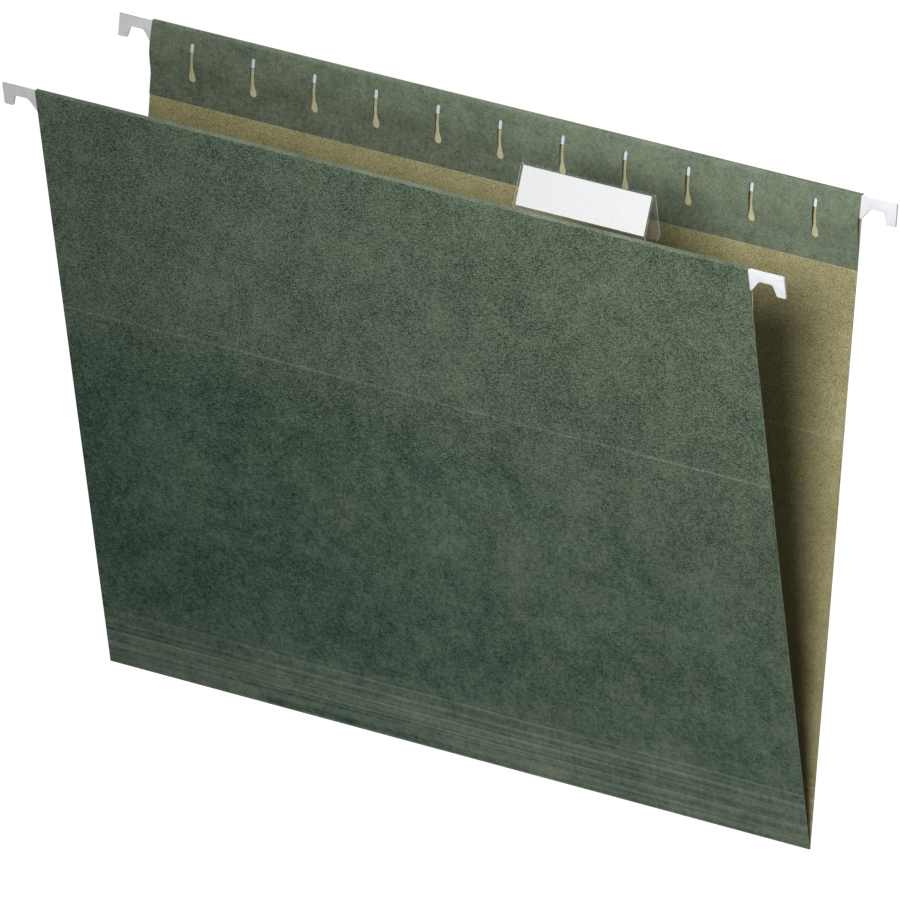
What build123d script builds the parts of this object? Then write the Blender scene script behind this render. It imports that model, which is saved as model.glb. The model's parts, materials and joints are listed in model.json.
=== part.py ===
import os
from math import cos, radians, sin

from build123d import *

# Hanging file folder, in millimetres. +X runs along the rods, +Y to the rear, +Z up.
# The origin lies midway between the four hook notches, at the height where the rails carry them.

# Board sheet
body_width = 298.5
panel_height = 241.3
board_thickness = 0.28
opening_angle = 18.0
upper_panel_height = 90.0
score_count = 5
score_pitch = 4.5
score_groove_width = 0.6
score_groove_depth = 0.08
fold_radius = 0.2

# Hem turned in over the rod and glued to the panel
hem_drop = 28.0
sleeve_drop = 10.2
sleeve_close_drop = 20.4
glue_thickness = 0.1
glue_side_margin = 4.0
glue_edge_margin = 1.0

# Slots punched through the hem
slot_count = 11
slot_end_margin = 18.0
slot_top_drop = 5.0
slot_length = 14.7
slot_width = 1.7
bulb_width = 3.0
bulb_taper = 4.0

# Flat steel rod and the coat on its hooks
rod_thickness = 0.7
rod_height = 8.2
coat_thickness = 0.2
coat_lap = 6.0
sleeve_clearance = 0.1
hook_reach = 14.5
arm_height = 4.2
shoulder_foot = 0.5
shoulder_length = 3.9
notch_width = 5.6
prong_foot = 3.7
hook_corner_radius = 0.8

# Clear tab: a skirt on the hem, a sloping front leaf, a ridge and a hanging back leaf
tab_slot_step = 3
tab_edge_margin = 0.4
tab_thickness = 0.4
tab_skirt_drop = 14.5
tab_lip_rise = 1.0
tab_ridge_rise = 13.4
tab_depth = 9.4
tab_ridge_width = 1.6
tab_back_drop = 3.0
tab_curl_run = 1.9
tab_curl_drop = 1.6
tab_bend_radius = 0.6
tongue_width = 1.3
tongue_height = 3.4
tongue_rod_gap = 0.5
tongue_tip_gap = 0.35

# Paper label behind the front leaf
label_side_gap = 0.8
label_thickness = 0.2
label_clearance = 0.1
label_lower_gap = 0.2
label_upper_gap = 0.3

cut_overrun = 1.0

# Sizes that follow from those above
half_opening = opening_angle / 2
half_width = body_width / 2
mid_score_height = panel_height - upper_panel_height
coat_width = rod_thickness + 2 * coat_thickness
coat_height = rod_height + 2 * coat_thickness
sleeve_gap = coat_width + 2 * sleeve_clearance
rod_plane = sleeve_gap / 2
hook_top = panel_height - board_thickness - sleeve_clearance
hook_bottom = hook_top - coat_height
seat_height = hook_top - arm_height
rail_height = seat_height * cos(radians(half_opening)) + rod_plane * sin(radians(half_opening))
hem_face = sleeve_gap + board_thickness
slot_pitch = (body_width - 2 * slot_end_margin) / (slot_count - 1)
tab_face = hem_face + sleeve_clearance
tab_centre = tab_slot_step * slot_pitch
tab_width = 2 * slot_pitch + tongue_width + 2 * tab_edge_margin
label_width = tab_width - 2 * label_side_gap


def along_rods(outline, length):
    """Extrude an outline of (inward, up) points along X, centred on the folder."""
    return extrude(Plane.YZ * outline, amount=length / 2, both=True)


def rounded(outline, corners, radius):
    """Round the named corners of a flat outline."""
    picked = [outline.vertices().sort_by_distance((*corner, 0))[0] for corner in corners]
    return fillet(picked, radius)


def lower_panel():
    """The panel from the bottom fold up to the mid-height score, with its expansion scores."""
    outer = -board_thickness
    points = [(0, 0), (0, mid_score_height), (outer, mid_score_height)]
    for score in range(score_count, 0, -1):
        height = score * score_pitch
        points.append((outer, height + score_groove_width / 2))
        points.append((outer + score_groove_depth, height))
        points.append((outer, height - score_groove_width / 2))
    points.append((outer, 0))
    outline = rounded(Polygon(*points, align=None), [(outer, 0)], fold_radius)
    return along_rods(outline, body_width)


def upper_panel():
    """The panel from the mid-height score up to the top fold."""
    top = panel_height - board_thickness
    points = [
        (0, mid_score_height),
        (0, top),
        (-board_thickness, top),
        (-board_thickness, mid_score_height),
    ]
    return along_rods(Polygon(*points, align=None), body_width)


def slot_outline():
    """One hem slot: narrow with a round top, widening to a round bulb at the bottom, on the XZ plane."""
    side = slot_width / 2
    bulb_radius = bulb_width / 2
    top_centre = panel_height - slot_top_drop - side
    bulb_centre = panel_height - slot_top_drop - slot_length + bulb_radius
    taper_top = bulb_centre + bulb_taper
    points = [
        (-side, top_centre),
        (-side, taper_top),
        (-bulb_radius, bulb_centre),
        (bulb_radius, bulb_centre),
        (side, taper_top),
        (side, top_centre),
    ]
    stem = Polygon(*points, align=None)
    return stem + Pos(0, top_centre) * Circle(side) + Pos(0, bulb_centre) * Circle(bulb_radius)


def hem():
    """The top fold and the turned-in flap, which stands off over the rod and then meets the panel."""
    top = panel_height
    under_fold = top - board_thickness
    glued_face = glue_thickness + board_thickness
    points = [
        (-board_thickness, under_fold),
        (-board_thickness, top),
        (hem_face, top),
        (hem_face, top - sleeve_drop),
        (glued_face, top - sleeve_close_drop),
        (glued_face, top - hem_drop),
        (glue_thickness, top - hem_drop),
        (glue_thickness, top - sleeve_close_drop),
        (sleeve_gap, top - sleeve_drop),
        (sleeve_gap, under_fold),
    ]
    outline = Polygon(*points, align=None)
    outline = rounded(outline, [(-board_thickness, top), (hem_face, top)], fold_radius)
    flap = along_rods(outline, body_width)
    cutter = extrude(Plane.XZ * slot_outline(), amount=hem_face + cut_overrun, both=True)
    middle = (slot_count - 1) / 2
    for slot in range(slot_count):
        flap -= Pos((slot - middle) * slot_pitch, 0, 0) * cutter
    return flap


def glue_line():
    """The adhesive between the flap and the panel, below the sleeve."""
    top = panel_height - sleeve_close_drop - glue_edge_margin
    bottom = panel_height - hem_drop + glue_edge_margin
    points = [(0, bottom), (glue_thickness, bottom), (glue_thickness, top), (0, top)]
    return along_rods(Polygon(*points, align=None), body_width - 2 * glue_side_margin)


def hook_outline():
    """The coated hook at the right end of a rod: arm, notch for the rail and prong, on the XZ plane."""
    inner = half_width - coat_lap
    outer = half_width + hook_reach
    points = [
        (inner, hook_top),
        (outer, hook_top),
        (outer, hook_bottom),
        (outer - prong_foot, hook_bottom),
        (half_width + shoulder_length + notch_width, seat_height),
        (half_width + shoulder_length, seat_height),
        (half_width + shoulder_foot, hook_bottom),
        (inner, hook_bottom),
    ]
    outline = Polygon(*points, align=None)
    return fillet(outline.vertices(), hook_corner_radius)


def in_sleeve(outline, thickness):
    """Extrude an outline on the XZ plane to a thickness, centred in the hem's sleeve."""
    return Pos(0, rod_plane, 0) * extrude(Plane.XZ * outline, amount=thickness / 2, both=True)


def rod():
    """The steel strip, with a bare hook at each end inside its coat."""
    bare_hook = offset(hook_outline(), -coat_thickness, kind=Kind.INTERSECTION)
    strip_middle = hook_bottom + coat_height / 2
    strip = Pos(0, strip_middle) * Rectangle(body_width, rod_height)
    outline = strip + bare_hook + mirror(bare_hook, about=Plane.YZ)
    return in_sleeve(outline, rod_thickness)


def hook_coat(steel):
    """The coat on the right hook, open where the steel strip runs into it."""
    return in_sleeve(hook_outline(), coat_width) - steel


def tab():
    """The clear tab: one bent strip with two tongues, which reach through the hem's slots."""
    ridge = panel_height + tab_ridge_rise
    back = tab_face + tab_depth
    back_end = panel_height - tab_back_drop
    path = FilletPolyline(
        (tab_face, panel_height - tab_skirt_drop),
        (tab_face, panel_height + tab_lip_rise),
        (back - tab_ridge_width, ridge),
        (back, ridge),
        (back, back_end),
        (back - tab_curl_run, back_end - tab_curl_drop),
        radius=tab_bend_radius,
    )
    outline = make_face(offset(path, tab_thickness, side=Side.RIGHT))
    body = along_rods(outline, tab_width)
    tongue_top = hook_bottom - tongue_rod_gap
    tongue_bottom = tongue_top - tongue_height
    tongue_root = tab_face + tab_thickness
    points = [
        (tongue_tip_gap, tongue_bottom),
        (tongue_root, tongue_bottom),
        (tongue_root, tongue_top),
        (tongue_tip_gap, tongue_top),
    ]
    tongue = along_rods(Polygon(*points, align=None), tongue_width)
    for side in (-1, 1):
        body += Pos(side * slot_pitch, 0, 0) * tongue
    return Pos(tab_centre, 0, 0) * body


def label():
    """The paper label, lying behind the tab's front leaf."""
    leaf_foot = Vector(tab_face, panel_height + tab_lip_rise)
    leaf_head = Vector(tab_face + tab_depth - tab_ridge_width, panel_height + tab_ridge_rise)
    along = (leaf_head - leaf_foot).normalized()
    inward = Vector(along.Y, -along.X)
    near = inward * (tab_thickness + label_clearance)
    far = near + inward * label_thickness
    low = leaf_foot + along * label_lower_gap
    high = leaf_head - along * label_upper_gap
    corners = [low + near, low + far, high + far, high + near]
    outline = Polygon(*[(corner.X, corner.Y) for corner in corners], align=None)
    return Pos(tab_centre, 0, 0) * along_rods(outline, label_width)


def placed_front(shape):
    """Lean an upright shape out to the front about the bottom fold, and set the origin at the rails."""
    return Pos(0, 0, -rail_height) * Rot(half_opening, 0, 0) * shape


def write(node, shape):
    """Write one node's solid to its own file."""
    export_step(shape, os.path.join("parts", node + ".step"))


os.makedirs("parts", exist_ok=True)

steel_rod = rod()
right_coat = hook_coat(steel_rod)
half_folder = {
    "lower_panel": lower_panel(),
    "upper_panel": upper_panel(),
    "hem": hem(),
    "glue_line": glue_line(),
    "rod": steel_rod,
    "right_hook_coat": right_coat,
    "left_hook_coat": mirror(right_coat, about=Plane.YZ),
}
for name, shape in half_folder.items():
    front = placed_front(shape)
    write("front_" + name, front)
    write("rear_" + name, mirror(front, about=Plane.XZ))
write("tab_holder", placed_front(tab()))
write("tab_label", placed_front(label()))
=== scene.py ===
import json
import math
from collections import namedtuple
from functools import partial

import bmesh
import bpy
from mathutils import Matrix, Vector


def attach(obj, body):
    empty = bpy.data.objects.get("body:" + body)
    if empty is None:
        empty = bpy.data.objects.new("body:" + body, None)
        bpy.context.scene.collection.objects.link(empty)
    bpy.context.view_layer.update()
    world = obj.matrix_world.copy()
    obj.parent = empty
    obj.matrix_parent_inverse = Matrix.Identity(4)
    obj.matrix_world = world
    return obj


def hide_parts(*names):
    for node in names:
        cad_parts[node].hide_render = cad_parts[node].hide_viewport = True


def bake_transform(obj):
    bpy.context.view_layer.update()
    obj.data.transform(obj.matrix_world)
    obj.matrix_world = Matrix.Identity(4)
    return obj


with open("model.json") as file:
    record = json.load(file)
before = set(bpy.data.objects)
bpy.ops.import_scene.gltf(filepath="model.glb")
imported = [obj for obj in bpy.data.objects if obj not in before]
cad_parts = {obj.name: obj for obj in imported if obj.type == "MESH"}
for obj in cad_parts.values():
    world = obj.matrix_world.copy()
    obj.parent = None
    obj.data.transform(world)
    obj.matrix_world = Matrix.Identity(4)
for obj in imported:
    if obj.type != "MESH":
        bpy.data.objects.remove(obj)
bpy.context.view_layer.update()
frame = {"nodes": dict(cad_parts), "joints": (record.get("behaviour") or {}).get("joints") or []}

# Hanging file folder, in metres. Each half is worked out upright on the bottom fold, as
# (along the rods, inward from the panel's inner face, up from the fold), and then leaned out to its side.
MM = 0.001
SIDES = ("front", "rear")
ENDS = {"left": -1, "right": 1}
joints = {joint["name"]: joint for joint in frame["joints"]}
fold_line = Vector(joints["bottom_fold"]["pos_m"])
panel_up = Vector(joints["tab_slide"]["axis"]).normalized()
panel_inward = Vector((0, panel_up.z, -panel_up.y))


def upright_span(node):
    """The lowest and highest (along, inward, up) of a front node, stood upright on the fold."""
    offsets = [vertex.co - fold_line for vertex in frame["nodes"][node].data.vertices]
    upright = [(offset.x, offset.dot(panel_inward), offset.dot(panel_up)) for offset in offsets]
    return [Vector(pick(values) for values in zip(*upright)) for pick in (min, max)]


def leaned(along, inward, up, side):
    """A point of an upright half, leaned out to its side of the folder."""
    point = fold_line + Vector((along, 0, 0)) + panel_inward * inward + panel_up * up
    if side == "rear":
        point.y = -point.y
    return point


# Sizes that the frame gives
_, panel_high = upright_span("front_lower_panel")
hem_low, hem_high = upright_span("front_hem")
coat_low, coat_high = upright_span("front_right_hook_coat")
half_width = panel_high.x
board_thickness = -hem_low.y
mid_score_height = panel_high.z
panel_top = hem_high.z
hem_foot = hem_low.z
hem_face = hem_high.y

# Score lines and folds
score_count = 5
score_pitch = 4.5 * MM
score_width = 0.4 * MM
score_depth = 0.06 * MM
score_stray = 0.9 * MM
stray_length = 45 * MM
crease_height = 2 * MM
fold_radius = 0.45 * MM
fold_steps = 5
mid_fold_reach = 1.5 * MM

# Slight waves of the panels, which die out towards the crease and the hem
wave_height = 0.35 * MM
wave_length = 110 * MM
wave_start = 6 * MM
wave_full = 40 * MM

# Hem over the rod. The tab presses the front hem flat, and the rear hem stands out a little.
hem_swell = {"front": 0.0, "rear": 0.9 * MM}
sleeve_drop = 10.2 * MM
sleeve_close_drop = 20.4 * MM
glue_thickness = 0.1 * MM

# Slots punched through the hem
slot_count = 11
slot_end_margin = 18 * MM
slot_top_drop = 5 * MM
slot_length = 14.7 * MM
slot_width = 1.7 * MM
bulb_width = 3 * MM
bulb_taper = 4 * MM
punch_overrun = 1 * MM
slot_pitch = (2 * half_width - 2 * slot_end_margin) / (slot_count - 1)

# Coated hooks
arm_height = 4.2 * MM
shoulder_foot = 0.5 * MM
shoulder_length = 3.9 * MM
notch_width = 5.6 * MM
prong_foot = 3.7 * MM
hook_corner_radius = 0.45 * MM
notch_corner_radius = 0.9 * MM
coat_edge_radius = 0.25 * MM

# How far the dye is rubbed off, from 0 to 1. Along the top fold the paler line is rubbed dye and also a
# painted highlight.
top_fold_wear_and_highlight = 1.0
crease_wear = 0.6
rim_wear = 0.35

# Edges sharper than this stay sharp in the shading, in degrees
board_sharp_angle = 35
coat_sharp_angle = 50

# The middle level of a noise, and the levels between which a pattern goes from weakest to strongest
MIDDLE = 0.5
EVEN = (0.2, 0.8)
SOFT = (0.25, 0.75)
CRISP = (0.35, 0.65)
PATCHY = (0.4, 0.7)
SPARSE = (0.58, 0.74)


def linear(colour):
    """An sRGB hex colour as linear RGBA."""
    shares = [int(colour[place:place + 2], 16) / 255 for place in (1, 3, 5)]
    return [share / 12.92 if share <= 0.04045 else ((share + 0.055) / 1.055) ** 2.4 for share in shares] + [1]


def feed(node, sources):
    """Feed a node's inputs, by name or in order, with values, outputs, or nodes.

    A node stands for the first of its outputs that is in use.
    """
    if isinstance(sources, dict):
        pairs = [(node.inputs[name], source) for name, source in sources.items()]
    else:
        pairs = zip([socket for socket in node.inputs if socket.enabled], sources)
    for socket, source in pairs:
        if isinstance(source, bpy.types.Node):
            source = next(output for output in source.outputs if output.enabled)
        if isinstance(source, bpy.types.NodeSocket):
            node.id_data.links.new(source, socket)
        else:
            socket.default_value = source


def add(tree, kind, sources=(), stops=None, **settings):
    """Add a node with its settings, what feeds it and, on a colour ramp, the hex colour at each stop."""
    node = tree.nodes.new(kind)
    for name, value in settings.items():
        setattr(node, name, value)
    feed(node, sources)
    if stops:
        elements = node.color_ramp.elements
        while len(elements) < len(stops):
            elements.new(0.5)
        for element, (position, colour) in zip(elements, stops.items()):
            element.position = position
            element.color = linear(colour)
    return node


def new_material(name):
    """A new material, a function that adds nodes to it, and its shader, which is joined to the output."""
    material = bpy.data.materials.new(name)
    material.use_nodes = True
    material.node_tree.nodes.clear()
    node = partial(add, material.node_tree)
    shader = node("ShaderNodeBsdfPrincipled")
    node("ShaderNodeOutputMaterial", {"Surface": shader})
    return material, node, shader


def pressed_board(
    name, tones, hem_painted_colour, hem_tone_from, speck, fleck, worn_and_highlight, grime, grain_depth, painted_light_and_shade_strength
):
    """Recycled board, rolled in the mill: clouded stock, fine grain, short pale fibres and a matt face."""
    material, node, shader = new_material(name)
    place = node("ShaderNodeUVMap", uv_map="sheet")
    along, height, _ = node("ShaderNodeSeparateXYZ", [place]).outputs

    # Where a look comes in on the sheet laid flat: along the rods, and up from the bottom fold
    across_span = (-half_width, half_width)
    left_span = (half_width / 3, -half_width)
    rise_span = (30 * MM, 210 * MM)
    hem_mask_span = (hem_tone_from - 1 * MM, hem_tone_from + 3 * MM)
    hem_span = (panel_top + 6 * MM, panel_top + 26 * MM)
    lower_span = (mid_score_height + 2 * MM, mid_score_height - 14 * MM)
    foot_span = (34 * MM, 12 * MM)
    calm_span = (175 * MM, 95 * MM)

    # Sizes of the patterns along and up the sheet, and the depth of each size of speck. Real grain is about
    # 0.1 mm and a real fibre about 0.03 mm wide, too fine to show, so both are drawn coarser.
    cloud_size = (45 * MM, 32 * MM)
    patch_size = (26 * MM, 12 * MM)
    streak_size = (140 * MM, 1.1 * MM)
    break_size = (90 * MM, 4 * MM)
    mottle = {40 * MM: 0.16, 14 * MM: 0.17, 5 * MM: 0.2, 1.8 * MM: 0.28}
    grain = {0.8 * MM: 0.65, 0.45 * MM: 1.0}
    fibre_size = (2 * MM, 0.45 * MM)
    grit_size = (0.8 * MM, 0.8 * MM)

    # How strong each look is, from the start of its span or pattern to the end
    rise_tones = (0.1, 0.6)
    drift_tones = (0.0, 0.25)
    cloud_tones = (-0.15, 0.15)
    # Painted light towards the right of the hem, and painted shade towards its foot
    painted_light_levels = (1.0, 1 + 0.4 * painted_light_and_shade_strength)
    painted_shade_levels = (1.05, 1.05 - 0.24 * painted_light_and_shade_strength)
    soil_strengths = (0.0, 0.45)
    streak_strengths = (0.06, 0.36)
    score_strengths = (0.26, 0.5)
    wear_and_highlight_strengths = (0.25, 0.65)
    fibre_strengths = (0.0, 0.36 * grain_depth)
    roughness_levels = (0.82, 0.94)

    def pattern(size, detail, turn=0):
        # Each pattern starts at a place of its own, so that no two line up
        number = len(material.node_tree.nodes)
        start_step = (0.37, 0.71)
        start = (start_step[0] * number, start_step[1] * number, 0)
        turned = (0, 0, math.radians(turn))
        spread = node("ShaderNodeMapping", [place, start, turned, (1 / size[0], 1 / size[1], 1)])
        sources = {"Vector": spread, "Scale": 1.0, "Detail": detail, "Roughness": 0.6}
        return node("ShaderNodeTexNoise", sources, noise_dimensions="2D")

    def speckled(colour, depths):
        # Specks are added to the colour, lighter and darker by the same amount
        for size, depth in depths.items():
            depth *= grain_depth
            specks = node("ShaderNodeMapRange", [pattern((size, size), 1), *SOFT, -depth, depth])
            sources = [linear(speck)[:3], specks, colour]
            colour = node("ShaderNodeVectorMath", sources, operation="MULTIPLY_ADD")
        return colour

    # The tone drifts up and across the panel, with clouds in it, from blue-green to olive. Going up it is
    # also painted light: lighter towards the top, darker towards the bottom.
    cloud = pattern(cloud_size, 3)
    rise = node("ShaderNodeMapRange", [height, *rise_span, *rise_tones])
    drift = node("ShaderNodeMapRange", [along, *across_span, *drift_tones])
    tone = node("ShaderNodeMath", [rise, drift], operation="ADD")
    clouds = node("ShaderNodeMapRange", [cloud, *SOFT, *cloud_tones])
    tone = node("ShaderNodeMath", [tone, clouds], operation="ADD")
    colour = node("ShaderNodeValToRGB", [tone], stops=tones)

    # Painted light on the hem: a paler tone, palest at the right, and painted shade that darkens it towards
    # the foot of the hem
    hem_mask = node("ShaderNodeMapRange", [height, *hem_mask_span])
    painted_light_right = node("ShaderNodeMapRange", [along, *across_span, *painted_light_levels])
    painted_shade_foot = node("ShaderNodeMapRange", [height, *hem_span, *painted_shade_levels])
    hem_light_and_shade = node("ShaderNodeMath", [painted_light_right, painted_shade_foot], operation="MULTIPLY")
    hem_painted_tone = node("ShaderNodeVectorMath", [linear(hem_painted_colour)[:3], hem_light_and_shade], operation="SCALE")
    colour = node("ShaderNodeMix", [hem_mask, colour, hem_painted_tone], data_type="RGBA")

    # Painted shade: the lower panel is darker towards the left
    painted_shade_colour = (0.5, 0.7, 0.66, 1)
    lower = node("ShaderNodeMapRange", [height, *lower_span])
    leftward = node("ShaderNodeMapRange", [along, *left_span])
    painted_shade_left = node("ShaderNodeMath", [lower, leftward], operation="MULTIPLY")
    painted_shade_left = node("ShaderNodeMath", [painted_shade_left, painted_light_and_shade_strength], operation="MULTIPLY")
    colour = node("ShaderNodeMix", [painted_shade_left, colour, painted_shade_colour], data_type="RGBA", blend_type="MULTIPLY")

    # Handling marks near the bottom fold: dull patches and fine streaks along the scores
    foot = node("ShaderNodeMapRange", [height, *foot_span])
    patch = pattern(patch_size, 3)
    soil = node("ShaderNodeMapRange", [patch, *PATCHY, *soil_strengths])
    soil = node("ShaderNodeMath", [foot, soil], operation="MULTIPLY")
    colour = node("ShaderNodeMix", [soil, colour, linear(grime)], data_type="RGBA")
    streaks = node("ShaderNodeMapRange", [pattern(streak_size, 1), *CRISP, *streak_strengths])
    streaks = node("ShaderNodeMath", [foot, streaks], operation="MULTIPLY")
    colour = node("ShaderNodeMix", [streaks, colour, linear(worn_and_highlight)], data_type="RGBA")

    # Dye rubbed thin along the scores, the folds and the rims. Along the top fold the paler line is also a
    # painted highlight.
    scored = node("ShaderNodeAttribute", attribute_name="scored").outputs["Fac"]
    broken = node("ShaderNodeMapRange", [pattern(break_size, 2), *CRISP, *score_strengths])
    broken = node("ShaderNodeMath", [scored, broken], operation="MULTIPLY")
    colour = node("ShaderNodeMix", [broken, colour, linear(worn_and_highlight)], data_type="RGBA")
    wear = node("ShaderNodeAttribute", attribute_name="wear").outputs["Fac"]
    rubbed_and_highlight = node("ShaderNodeMapRange", [patch, *CRISP, *wear_and_highlight_strengths])
    rubbed_and_highlight = node("ShaderNodeMath", [wear, rubbed_and_highlight], operation="MULTIPLY")
    colour = node("ShaderNodeMix", [rubbed_and_highlight, colour, linear(worn_and_highlight)], data_type="RGBA")

    # Mottle, then grain and single fibres that lie three ways
    mottled = speckled(colour, mottle)
    colour = speckled(mottled, grain)
    for turn in (15, 75, 135):
        fibres = node("ShaderNodeMapRange", [pattern(fibre_size, 1, turn), *SPARSE, *fibre_strengths])
        colour = node("ShaderNodeMix", [fibres, colour, linear(fleck)], data_type="RGBA")

    # Grain and fibres are fainter in the hem, in the lower panel and most of all near the bottom fold
    calm_hem, calm_lower, calm_foot = 0.55, 0.5, 0.3
    calm = node("ShaderNodeMath", [hem_mask, calm_hem], operation="MULTIPLY")
    fainter = node("ShaderNodeMapRange", [height, *calm_span, 0.0, calm_lower])
    calm = node("ShaderNodeMath", [calm, fainter], operation="ADD")
    faintest = node("ShaderNodeMath", [foot, calm_foot], operation="MULTIPLY")
    calm = node("ShaderNodeMath", [calm, faintest], operation="ADD")
    colour = node("ShaderNodeMix", [calm, colour, mottled], data_type="RGBA")
    darkest = linear("#1a211c")[:3]
    colour = node("ShaderNodeVectorMath", [colour, darkest], operation="MAXIMUM")

    roughness = node("ShaderNodeMapRange", [cloud, *EVEN, *roughness_levels])
    grit = pattern(grit_size, 2)
    bump = node("ShaderNodeBump", {"Height": grit, "Strength": 0.5 * grain_depth, "Distance": 0.04 * MM})
    feed(shader, {"Base Color": colour, "Roughness": roughness, "Normal": bump})
    feed(shader, {"IOR": 1.45, "Specular IOR Level": 0.3})
    return material


def green_board():
    """The dyed outside: a dull green that drifts between blue-green and olive, paler where it is creased,
    with painted light and shade.
    """
    return pressed_board(
        "dyed_green_board",
        tones={0.0: "#3d5446", 0.3: "#425546", 0.6: "#455544", 0.8: "#485745"},
        # The hem's paler tone is painted light
        hem_painted_colour="#5b6554",
        hem_tone_from=panel_top,
        speck="#4f5447",
        fleck="#7f8a75",
        worn_and_highlight="#84907d",
        grime="#646b5d",
        grain_depth=1.0,
        # Full strength of the painted light and shade on the hem and the lower panel
        painted_light_and_shade_strength=1.0,
    )


def buff_board():
    """The undyed inside: warm buff stock with paler fibres."""
    return pressed_board(
        "undyed_buff_board",
        tones={0.0: "#7b764f", 0.3: "#858058", 0.6: "#918b62", 0.8: "#948e67"},
        # The strip under the hem, where shade falls, is painted paler as painted light
        hem_painted_colour="#adaa87",
        hem_tone_from=hem_foot,
        speck="#8c8972",
        fleck="#c1b993",
        worn_and_highlight="#b9b08b",
        grime="#8d875e",
        grain_depth=0.4,
        painted_light_and_shade_strength=0.0,
    )


def cut_edge():
    """The guillotined edge: bare stock, mottled by the cut fibres of its plies."""
    material, node, shader = new_material("guillotined_board_edge")
    # Cut fibres are too fine to show, so their mottle is drawn coarser
    mottle_size = 0.5 * MM
    place = node("ShaderNodeTexCoord").outputs["Object"]
    mottle = node("ShaderNodeTexNoise", {"Vector": place, "Scale": 1 / mottle_size, "Detail": 2})
    colour = node("ShaderNodeValToRGB", [mottle], stops={0.3: "#77765f", 0.7: "#9d9b82"})
    feed(shader, {"Base Color": colour, "Roughness": 0.9, "Specular IOR Level": 0.25})
    return material


def zinc_steel():
    """Rolled steel strip with a pale zinc finish: bluish, more matt than mirror, streaked by the rolls."""
    material, node, shader = new_material("zinc_finished_steel")
    # Streaks left by the rolls are too fine to show, so they are drawn wider
    streak_length, streak_width = 30 * MM, 0.3 * MM
    place = node("ShaderNodeTexCoord").outputs["Object"]
    scale = (1 / streak_length, 1 / streak_width, 1 / streak_width)
    stretched = node("ShaderNodeMapping", {"Vector": place, "Scale": scale})
    streaks = node("ShaderNodeTexNoise", {"Vector": stretched, "Scale": 1.0, "Detail": 3})
    colour = node("ShaderNodeValToRGB", [streaks], stops={0.3: "#cbdfe9", 0.7: "#ddeffa"})
    roughness = node("ShaderNodeMapRange", {"Value": streaks, "To Min": 0.35, "To Max": 0.5})
    feed(shader, {"Base Color": colour, "Roughness": roughness, "Metallic": 0.1})
    return material


def dipped_plastic():
    """White plastic dipped over the hook: satin, slightly uneven, a cool white."""
    material, node, shader = new_material("white_dipped_plastic")
    ripple_size = 3 * MM
    place = node("ShaderNodeTexCoord").outputs["Object"]
    ripples = node("ShaderNodeTexNoise", {"Vector": place, "Scale": 1 / ripple_size, "Detail": 3})
    colour = node("ShaderNodeValToRGB", [ripples], stops={0.3: "#d9dade", 0.7: "#e3e4e7"})
    roughness = node("ShaderNodeMapRange", {"Value": ripples, "To Min": 0.32, "To Max": 0.45})
    bump = node("ShaderNodeBump", {"Height": ripples, "Strength": 0.3, "Distance": 0.03 * MM})
    feed(shader, {"Base Color": colour, "Roughness": roughness, "Normal": bump, "IOR": 1.5})
    return material


def clear_plastic():
    """Extruded clear vinyl: hardly seen on its faces, paler along its cut ends, with faint draw lines."""
    material, node, shader = new_material("extruded_clear_vinyl")
    line_length, line_width = 40 * MM, 1.2 * MM
    face_alpha, cut_alpha = 0.02, 0.6
    coordinates = node("ShaderNodeTexCoord").outputs
    scale = (1 / line_length, 1 / line_width, 1 / line_width)
    stretched = node("ShaderNodeMapping", {"Vector": coordinates["Object"], "Scale": scale})
    lines = node("ShaderNodeTexNoise", {"Vector": stretched, "Scale": 1.0, "Detail": 2})
    colour = node("ShaderNodeValToRGB", [lines], stops={0.3: "#dfe4e4", 0.7: "#eef1f1"})
    roughness = node("ShaderNodeMapRange", {"Value": lines, "To Min": 0.05, "To Max": 0.15})
    endways = node("ShaderNodeSeparateXYZ", [coordinates["Normal"]]).outputs["X"]
    endways = node("ShaderNodeMath", [endways], operation="ABSOLUTE")
    alpha = node("ShaderNodeMapRange", [endways, 0.5, 0.9, face_alpha, cut_alpha])
    feed(shader, {"Base Color": colour, "Roughness": roughness, "Alpha": alpha, "IOR": 1.49})
    return material


def label_card():
    """Smooth white card: bright and matt, with a hint of fibre."""
    material, node, shader = new_material("smooth_white_card")
    # Fibres in card are too fine to show, so their mottle is drawn coarser
    mottle_size = 0.8 * MM
    place = node("ShaderNodeTexCoord").outputs["Object"]
    mottle = node("ShaderNodeTexNoise", {"Vector": place, "Scale": 1 / mottle_size, "Detail": 3})
    colour = node("ShaderNodeValToRGB", [mottle], stops={0.3: "#d0d2d1", 0.7: "#d8dad9"})
    bump = node("ShaderNodeBump", {"Height": mottle, "Strength": 0.08, "Distance": 0.01 * MM})
    feed(shader, {"Base Color": colour, "Normal": bump, "Roughness": 0.75, "Specular IOR Level": 0.4})
    return material


def dried_glue():
    """Dried white glue: a milky, slightly yellow film."""
    material, node, shader = new_material("dried_white_glue")
    blotch_size = 4 * MM
    place = node("ShaderNodeTexCoord").outputs["Object"]
    blotches = node("ShaderNodeTexNoise", {"Vector": place, "Scale": 1 / blotch_size, "Detail": 2})
    colour = node("ShaderNodeValToRGB", [blotches], stops={0.3: "#cfc6a6", 0.7: "#e2dcc4"})
    feed(shader, {"Base Color": colour, "Roughness": 0.55})
    return material


def opal_acrylic():
    """Opal acrylic, lit from behind: an even glow that comes out just white."""
    material, node, shader = new_material("backlit_opal_acrylic")
    cloud_size = 0.3
    place = node("ShaderNodeTexCoord").outputs["Object"]
    clouds = node("ShaderNodeTexNoise", {"Vector": place, "Scale": 1 / cloud_size})
    colour = node("ShaderNodeValToRGB", [clouds], stops={0.3: "#3a3a3a", 0.7: "#3e3e3e"})
    feed(shader, {"Base Color": colour, "Roughness": 0.9})
    feed(shader, {"Emission Color": linear("#ffffff"), "Emission Strength": 0.99})
    return material


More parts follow.
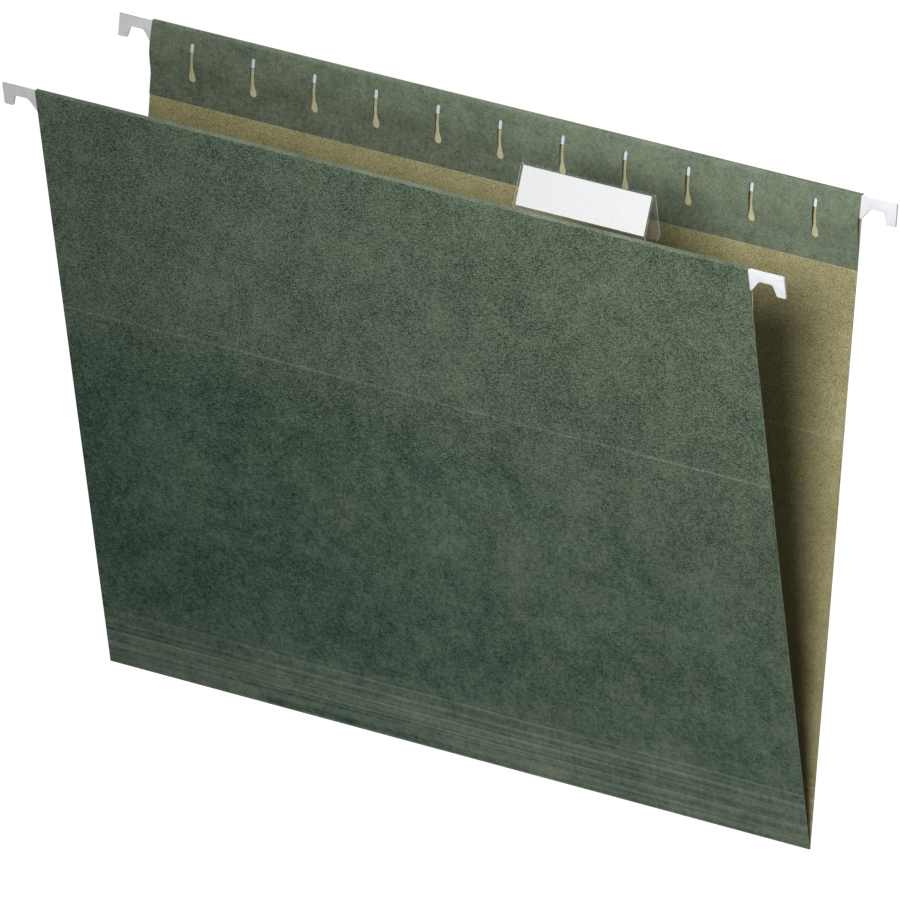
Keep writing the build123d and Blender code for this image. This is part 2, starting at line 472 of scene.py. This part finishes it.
def linked(name, data):
    """A new object of the scene, with its mesh, lamp or lens."""
    thing = bpy.data.objects.new(name, data)
    bpy.context.scene.collection.objects.link(thing)
    return thing


def new_piece(name, shape, *materials):
    """A new object of the scene, with a shape as its mesh. The shape is let go."""
    mesh = bpy.data.meshes.new(name)
    shape.to_mesh(mesh)
    shape.free()
    for material in materials:
        mesh.materials.append(material)
    return linked(name, mesh)


def finish_shape(piece, sharp_angle):
    """Work the modifiers into the mesh, and shade it smooth up to the sharp angle."""
    bpy.context.view_layer.update()
    graph = bpy.context.evaluated_depsgraph_get()
    mesh = bpy.data.meshes.new_from_object(piece.evaluated_get(graph), depsgraph=graph)
    piece.modifiers.clear()
    piece.data = mesh
    mesh.name = piece.name
    for polygon in mesh.polygons:
        polygon.use_smooth = True
    mesh.set_sharp_from_angle(angle=math.radians(sharp_angle))


def smooth(share):
    """A share from 0 to 1, eased at both ends."""
    return share * share * (3 - 2 * share)


def arc(centre, radius, start, end, steps):
    """Points on an arc, from one angle to another, in degrees."""
    angles = [math.radians(start + (end - start) * step / steps) for step in range(steps + 1)]
    return [(centre[0] + radius * math.cos(angle), centre[1] + radius * math.sin(angle)) for angle in angles]


def prism(outline, inner, outer, side):
    """A solid with an outline of (along, up) points, between two places inward, and its two rings."""
    shape = bmesh.new()
    rings = []
    for inward in (inner, outer):
        ring = [shape.verts.new(leaned(along, inward, up, side)) for along, up in outline]
        shape.faces.new(ring)
        rings.append(ring)
    near, far = rings
    for number in range(len(outline)):
        after = (number + 1) % len(outline)
        shape.faces.new((near[number], near[after], far[after], far[number]))
    bmesh.ops.recalc_face_normals(shape, faces=shape.faces)
    return shape, near, far


# One row of points along the rods, with the height that its scores go by and how far it is rubbed, which at
# the top fold also carries a painted highlight
Row = namedtuple("Row", "inward up score_height wear")


def sheet_rows(side):
    """A half sheet's green side, from the crease over the top fold to the hem's edge."""
    score_offsets = [offset * MM for offset in (-0.9, -0.5, -0.25, 0, 0.25, 0.5, 0.9)]
    fold_offsets = [offset * MM for offset in (-1.6, -1.2, -0.8, -0.5, -0.25, 0, 0.25, 0.5, 0.8, 1.2, 1.6)]
    plain_step, clear = 6 * MM, 2 * MM
    bend = panel_top - fold_radius
    scores = [score * score_pitch for score in range(1, score_count + 1)]
    heights = [score + offset for score in scores for offset in score_offsets]
    heights += [mid_score_height + offset for offset in fold_offsets]
    plain_count = int((bend - crease_height) / plain_step)
    plain = [crease_height + plain_step * step for step in range(1, plain_count + 1)]
    heights += [height for height in plain if min(abs(height - other) for other in heights) > clear]
    heights = sorted(heights + [crease_height, bend])
    rows = [Row(-board_thickness, height, height, 0.0) for height in heights]

    first_bend = arc((-board_thickness + fold_radius, bend), fold_radius, 180, 90, fold_steps)
    second_bend = arc((hem_face - fold_radius, bend), fold_radius, 90, 0, fold_steps)
    # The top fold's paler line is rubbed dye and a painted highlight
    rows += [Row(inward, up, panel_top, top_fold_wear_and_highlight) for inward, up in first_bend[1:] + second_bend]

    hem_step = 1.2 * MM
    hem_count = int((bend - hem_foot) / hem_step)
    glued_face = glue_thickness + board_thickness
    for step in range(1, hem_count + 1):
        up = bend - (bend - hem_foot) * step / hem_count
        drop = panel_top - up
        closed = (drop - sleeve_drop) / (sleeve_close_drop - sleeve_drop)
        closed = smooth(min(max(closed, 0), 1))
        swell = hem_swell[side] * math.sin(math.pi * min(drop / sleeve_close_drop, 1))
        rows.append(Row(hem_face + swell + (glued_face - hem_face) * closed, up, panel_top, 0.0))
    return rows


def sheet_columns():
    """Places along the rods where the sheet has a line of points, closer at its two edges."""
    step, rim = 3 * MM, 0.4 * MM
    inner_width = 2 * (half_width - rim)
    count = round(inner_width / step)
    inner = [-half_width + rim + inner_width * place / count for place in range(count + 1)]
    return [-half_width, *inner, half_width]


def close_sheet(shape, skins, columns, runs):
    """Join a green and a buff skin, each rows of points, into a closed sheet, and give its faces by kind.

    Columns and runs are the points' places along and up the sheet, laid flat.
    """
    sheet_map = shape.loops.layers.uv.new("sheet")
    faces = {"green": [], "buff": [], "cut": []}

    def face(kind, corners):
        made = shape.faces.new([skins[skin][row][column] for skin, row, column in corners])
        for loop, (_, row, column) in zip(made.loops, corners):
            loop[sheet_map].uv = (columns[column], runs[row])
        faces[kind].append(made)

    last_row, last_column = len(runs) - 1, len(columns) - 1
    for row in range(last_row):
        for column in range(last_column):
            places = [(row, column), (row, column + 1), (row + 1, column + 1), (row + 1, column)]
            for skin, kind in enumerate(("green", "buff")):
                face(kind, [(skin, *place) for place in places])
        for column in (0, last_column):
            face("cut", [(0, row, column), (0, row + 1, column), (1, row + 1, column), (1, row, column)])
    for row in (0, last_row):
        for column in range(last_column):
            face("cut", [(0, row, column), (0, row, column + 1), (1, row, column + 1), (1, row, column)])
    bmesh.ops.recalc_face_normals(shape, faces=shape.faces)
    return faces


def half_sheet_shape(side):
    """One half of the sheet before its scores and slots: two skins, the board's thickness apart."""
    rows, columns = sheet_rows(side), sheet_columns()
    shape = bmesh.new()
    inside = shape.faces.layers.bool.new("inside")
    cut = shape.faces.layers.bool.new("cut")
    score_height = shape.verts.layers.float.new("score_height")
    wear = shape.verts.layers.float.new("wear")
    runs = [rows[0].up]
    for row, after in zip(rows, rows[1:]):
        runs.append(runs[-1] + math.dist(row[:2], after[:2]))
    skins = ([], [])
    for number, row in enumerate(rows):
        before = rows[max(number - 1, 0)]
        after = rows[min(number + 1, len(rows) - 1)]
        run = math.dist(before[:2], after[:2])
        through = ((after.up - before.up) / run, (before.inward - after.inward) / run)
        for skin, depth in zip(skins, (0, board_thickness)):
            inward = row.inward + depth * through[0]
            up = row.up + depth * through[1]
            line = [shape.verts.new(leaned(along, inward, up, side)) for along in columns]
            for vertex, along in zip(line, columns):
                vertex[score_height] = row.score_height
                vertex[wear] = max(row.wear, rim_wear if abs(along) >= half_width else 0.0)
            skin.append(line)
    faces = close_sheet(shape, skins, columns, runs)
    for face in faces["buff"]:
        face[inside] = True
    for face in faces["cut"]:
        face[cut] = True
    return shape


def slot_punch(side):
    """The punch for one hem slot, at the middle of the rods: round on top, with a round bulb at the foot."""
    top_steps, taper_steps, bulb_steps = 5, 10, 10
    top_radius, bulb_radius = slot_width / 2, bulb_width / 2
    top_centre = panel_top - slot_top_drop - top_radius
    bulb_centre = panel_top - slot_top_drop - slot_length + bulb_radius
    right_half = arc((0, top_centre), top_radius, 90, 0, top_steps)
    for step in range(1, taper_steps):
        share = step / taper_steps
        along = top_radius + (bulb_radius - top_radius) * smooth(share)
        right_half.append((along, bulb_centre + bulb_taper * (1 - share)))
    right_half += arc((0, bulb_centre), bulb_radius, 0, -90, bulb_steps)
    left_half = [(-along, up) for along, up in reversed(right_half[1:-1])]
    reach = hem_face + hem_swell[side] + punch_overrun
    shape, _, _ = prism(right_half + left_half, glue_thickness / 2, reach, side)
    return new_piece(side + "_slot_punch", shape)


def half_sheet_tree():
    """Nodes that score a half sheet, let it wave a little, punch its slots and finish its faces."""
    tree = bpy.data.node_groups.new("scored_and_slotted_board", "GeometryNodeTree")
    kinds = {
        "Board": "Geometry", "Slot Punch": "Object", "Slot Count": "Int", "Slot Pitch": "Float",
        "Inward": "Vector", "Score Count": "Int", "Score Pitch": "Float", "Score Width": "Float",
        "Score Depth": "Float", "Mid Score Height": "Float", "Wave Height": "Float", "Hem Foot": "Float",
        "Outside": "Material", "Inside": "Material", "Cut Edge": "Material",
    }
    for name, kind in kinds.items():
        tree.interface.new_socket(name, in_out="INPUT", socket_type="NodeSocket" + kind)
    tree.interface.new_socket("Board", in_out="OUTPUT", socket_type="NodeSocketGeometry")
    node = partial(add, tree)
    given = node("NodeGroupInput").outputs

    # Each score strays a little from its line
    height = node("GeometryNodeInputNamedAttribute", {"Name": "score_height"}, data_type="FLOAT")
    stray = node("ShaderNodeTexNoise", {"Scale": 1 / stray_length, "Detail": 2})
    stray = node("ShaderNodeMath", [stray, MIDDLE], operation="SUBTRACT")
    stray = node("ShaderNodeMath", [stray, score_stray], operation="MULTIPLY")
    strayed = node("ShaderNodeMath", [height, stray], operation="ADD")

    def groove(line):
        # A bell across the line: 1 on it, and next to nothing two widths away
        distance = node("ShaderNodeMath", [strayed, line], operation="SUBTRACT")
        widths = node("ShaderNodeMath", [distance, given["Score Width"]], operation="DIVIDE")
        fall = node("ShaderNodeMath", [widths, widths], operation="MULTIPLY")
        fall = node("ShaderNodeMath", [fall, -1.0], operation="MULTIPLY")
        return node("ShaderNodeMath", [fall], operation="EXPONENT")

    # Each point is pressed by the bottom score nearest to it and by the mid-height score
    nearest = node("ShaderNodeMath", [height, given["Score Pitch"]], operation="DIVIDE")
    nearest = node("ShaderNodeMath", [nearest], operation="ROUND")
    nearest = node("ShaderNodeMath", [nearest, 1.0], operation="MAXIMUM")
    nearest = node("ShaderNodeMath", [nearest, given["Score Count"]], operation="MINIMUM")
    nearest = node("ShaderNodeMath", [nearest, given["Score Pitch"]], operation="MULTIPLY")
    scored = node("ShaderNodeMath", [groove(nearest), groove(given["Mid Score Height"])], operation="ADD")
    pressed = node("ShaderNodeMath", [scored, given["Score Depth"]], operation="MULTIPLY")

    # The panels wave, but not at the crease or at the hem
    wave = node("ShaderNodeTexNoise", {"Scale": 1 / wave_length, "Detail": 1})
    wave = node("ShaderNodeMath", [wave, MIDDLE], operation="SUBTRACT")
    wave = node("ShaderNodeMath", [wave, MIDDLE], operation="DIVIDE")
    wave = node("ShaderNodeMath", [wave, given["Wave Height"]], operation="MULTIPLY")
    below_hem = node("ShaderNodeMath", [given["Hem Foot"], height], operation="SUBTRACT")
    for distance, start in ((height, wave_start), (below_hem, 0.0)):
        growth = node("ShaderNodeMapRange", [distance, start, wave_full], interpolation_type="SMOOTHSTEP")
        wave = node("ShaderNodeMath", [wave, growth], operation="MULTIPLY")

    sources = {"Geometry": given["Board"], "Name": "scored", "Value": scored}
    board = node("GeometryNodeStoreNamedAttribute", sources, data_type="FLOAT", domain="POINT")
    shift = node("ShaderNodeMath", [pressed, wave], operation="ADD")
    shift = node("ShaderNodeVectorMath", [given["Inward"], shift], operation="SCALE")
    board = node("GeometryNodeSetPosition", {"Geometry": board, "Offset": shift})

    # One punch for each slot, in a row about the middle of the rods
    step = node("ShaderNodeCombineXYZ", {"X": given["Slot Pitch"]})
    first = node("ShaderNodeMath", [given["Slot Count"], 1.0], operation="SUBTRACT")
    first = node("ShaderNodeMath", [first, -2.0], operation="DIVIDE")
    first = node("ShaderNodeVectorMath", [step, first], operation="SCALE")
    sources = {"Count": given["Slot Count"], "Start Location": first, "Offset": step}
    line = node("GeometryNodeMeshLine", sources)
    punch = node("GeometryNodeObjectInfo", {"Object": given["Slot Punch"]}).outputs["Geometry"]
    sources = {"Geometry": punch, "Name": "cut", "Value": True}
    punch = node("GeometryNodeStoreNamedAttribute", sources, data_type="BOOLEAN", domain="FACE")
    punches = node("GeometryNodeInstanceOnPoints", {"Points": line, "Instance": punch})
    punches = node("GeometryNodeRealizeInstances", [punches])
    sources = {"Mesh 1": board, "Mesh 2": punches}
    board = node("GeometryNodeMeshBoolean", sources, operation="DIFFERENCE", solver="EXACT")

    board = node("GeometryNodeRealizeInstances", [board])
    board = node("GeometryNodeSetMaterial", {"Geometry": board, "Material": given["Outside"]})
    for mark, finish in (("inside", "Inside"), ("cut", "Cut Edge")):
        marked = node("GeometryNodeInputNamedAttribute", {"Name": mark}, data_type="BOOLEAN")
        sources = {"Geometry": board, "Selection": marked, "Material": given[finish]}
        board = node("GeometryNodeSetMaterial", sources)
    node("NodeGroupOutput", [board])
    return tree


def half_sheet(side, tree, finishes):
    """One half of the folder's sheet: panel, top fold and slotted hem."""
    piece = new_piece(side + "_sheet", half_sheet_shape(side))
    punch = slot_punch(side)
    inward = leaned(0, 1, 0, side) - leaned(0, 0, 0, side)
    given = {
        "Slot Punch": punch, "Slot Count": slot_count, "Slot Pitch": slot_pitch, "Inward": inward,
        "Score Count": score_count, "Score Pitch": score_pitch, "Score Width": score_width,
        "Score Depth": score_depth, "Mid Score Height": mid_score_height, "Wave Height": wave_height,
        "Hem Foot": hem_foot, **finishes,
    }
    modifier = piece.modifiers.new("board", "NODES")
    modifier.node_group = tree
    for socket in tree.interface.items_tree:
        if socket.name in given:
            modifier[socket.identifier] = given[socket.name]
    finish_shape(piece, board_sharp_angle)
    bpy.data.objects.remove(punch)
    leaned(0, 0, mid_score_height - mid_fold_reach, side)
    leaned(0, 0, mid_score_height + mid_fold_reach, side)
    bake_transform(piece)
    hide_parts(side + "_lower_panel", side + "_upper_panel", side + "_hem")


def bottom_crease(finishes):
    """The strip of board that turns round the bottom fold and joins the two halves."""
    turn_steps = 8
    inner_gap = 0.1 * MM
    lean = math.atan2(-panel_up.y, panel_up.z)
    straight = (crease_height, crease_height / 2, 0)
    green = [leaned(0, -board_thickness, up, "front") for up in straight]
    buff = [leaned(0, 0, max(up, inner_gap), "front") for up in straight]
    for step in range(1, turn_steps):
        angle = math.pi + lean + (math.pi - 2 * lean) * step / turn_steps
        green.append(fold_line + Vector((0, math.cos(angle), math.sin(angle))) * board_thickness)
        rise = abs(1 - 2 * step / turn_steps) * inner_gap
        buff.append(leaned(0, 0, rise, "front" if step < turn_steps / 2 else "rear"))
    green += [leaned(0, -board_thickness, up, "rear") for up in reversed(straight)]
    buff += [leaned(0, 0, max(up, inner_gap), "rear") for up in reversed(straight)]
    runs = [*straight, *[0] * (turn_steps - 1), *reversed(straight)]

    columns = sheet_columns()
    shape = bmesh.new()
    wear = shape.verts.layers.float.new("wear")
    skins = []
    for points in (green, buff):
        skin = [[shape.verts.new(point + Vector((along, 0, 0))) for along in columns] for point in points]
        for line, run in zip(skin, runs):
            for vertex in line:
                vertex[wear] = crease_wear if run == 0 else 0.0
        skins.append(skin)
    faces = close_sheet(shape, skins, columns, runs)
    for number, kind in enumerate(("green", "buff", "cut")):
        for face in faces[kind]:
            face.material_index = number
    finish_order = [finishes[name] for name in ("Outside", "Inside", "Cut Edge")]
    piece = new_piece("bottom_crease", shape, *finish_order)
    finish_shape(piece, board_sharp_angle)
    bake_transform(piece)


def hook(side, end, material):
    """A coated hook: arm, notch for the rail and prong, with rounded edges."""
    inner, outer = coat_low.x, coat_high.x
    seat = coat_high.z - arm_height
    corners = {
        (inner, coat_high.z): hook_corner_radius,
        (outer, coat_high.z): hook_corner_radius,
        (outer, coat_low.z): hook_corner_radius,
        (outer - prong_foot, coat_low.z): hook_corner_radius,
        (half_width + shoulder_length + notch_width, seat): notch_corner_radius,
        (half_width + shoulder_length, seat): notch_corner_radius,
        (half_width + shoulder_foot, coat_low.z): hook_corner_radius,
        (inner, coat_low.z): hook_corner_radius,
    }
    outline = [(ENDS[end] * along, up) for along, up in corners]
    shape, near, far = prism(outline, coat_low.y, coat_high.y, side)
    across = [shape.edges.get(pair) for pair in zip(near, far)]
    for radius in (hook_corner_radius, notch_corner_radius):
        edges = [edge for edge, corner_radius in zip(across, corners.values()) if corner_radius == radius]
        bmesh.ops.bevel(shape, geom=edges, offset=radius, segments=5, profile=0.5, affect="EDGES")
    piece = new_piece(f"{side}_{end}_hook", shape, material)
    rim = piece.modifiers.new("rounded_rim", "BEVEL")
    rim.width = coat_edge_radius
    rim.segments = 3
    rim.limit_method = "ANGLE"
    rim.angle_limit = math.radians(60)
    finish_shape(piece, coat_sharp_angle)
    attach(piece, side + "_rod")
    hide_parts(f"{side}_{end}_hook_coat")


def finish_cad_node(node, material):
    """Give a CAD node that keeps its shape a better finish."""
    for slot in frame["nodes"][node].material_slots:
        slot.material = material


def direction(azimuth, elevation):
    """The way out from the folder to what stands at an angle round it and an angle up, in degrees."""
    around, above = math.radians(azimuth), math.radians(elevation)
    level = Vector((math.sin(around), -math.cos(around), 0))
    return level * math.cos(above) + Vector((0, 0, math.sin(above)))


def floor():
    """A glowing white floor, well below the folder, which throws no diffuse light on it."""
    drop, size = 0.27, 40.0
    shape = bmesh.new()
    bmesh.ops.create_grid(shape, x_segments=4, y_segments=4, size=size / 2)
    piece = new_piece("floor", shape, opal_acrylic())
    piece.location.z = fold_line.z - drop
    piece.visible_diffuse = False


def light(name, kind, place, aim, **settings):
    """A lamp at a place, turned to its aim."""
    lamp = bpy.data.lights.new(name, kind)
    for setting, value in settings.items():
        setattr(lamp, setting, value)
    stand = linked(name, lamp)
    stand.location = place
    stand.rotation_euler = (place - aim).to_track_quat("Z", "Y").to_euler()


def studio():
    """Dim white world, a soft-edged key light from the front right and a light from behind."""
    scene = bpy.context.scene
    scene.view_settings.view_transform = "Standard"
    scene.world = bpy.data.worlds.new("studio")
    scene.world.use_nodes = True
    feed(scene.world.node_tree.nodes["Background"], {"Color": linear("#ffffff"), "Strength": 0.19})

    centre = fold_line + Vector((0, 0, panel_top / 2))
    key_azimuth, key_elevation, key_distance = 22.5, 33, 1.03
    key_place = centre + direction(key_azimuth, key_elevation) * key_distance
    bright_spot = fold_line + Vector((0.18, 0, 0.28))
    cone = {"spot_size": math.radians(59.4), "spot_blend": 1.0, "shadow_soft_size": 0.17}
    light("key", "SPOT", key_place, bright_spot, energy=42, **cone)
    back_place = centre + Vector((-0.5, 1.1, 0.45))
    light("back", "AREA", back_place, centre, energy=16, size=0.7)


def camera():
    """The photograph's viewpoint: from the right and above, with a long lens."""
    azimuth, elevation, roll = 33.635, 24.595, math.radians(-0.929)
    distance = 6.0
    target = fold_line + Vector((-0.477, 0, 119.02)) * MM
    back = direction(azimuth, elevation)
    level = Vector((math.cos(math.radians(azimuth)), math.sin(math.radians(azimuth)), 0))
    upright = back.cross(level)
    right = level * math.cos(roll) + upright * math.sin(roll)
    up = upright * math.cos(roll) - level * math.sin(roll)
    lens = bpy.data.cameras.new("camera")
    lens.sensor_width = 36
    lens.lens = 677.56
    lens.clip_end = 50
    viewer = linked("camera", lens)
    turn = Matrix((right, up, back)).transposed().to_4x4()
    viewer.matrix_world = Matrix.Translation(target + back * distance) @ turn
    bpy.context.scene.camera = viewer


board_finishes = {"Outside": green_board(), "Inside": buff_board(), "Cut Edge": cut_edge()}
sheet_tree = half_sheet_tree()
for side in SIDES:
    half_sheet(side, sheet_tree, board_finishes)
bottom_crease(board_finishes)
coat = dipped_plastic()
for side in SIDES:
    for end in ENDS:
        hook(side, end, coat)
steel, glue = zinc_steel(), dried_glue()
for side in SIDES:
    finish_cad_node(side + "_rod", steel)
    finish_cad_node(side + "_glue_line", glue)
finish_cad_node("tab_holder", clear_plastic())
finish_cad_node("tab_label", label_card())
floor()
studio()
camera()
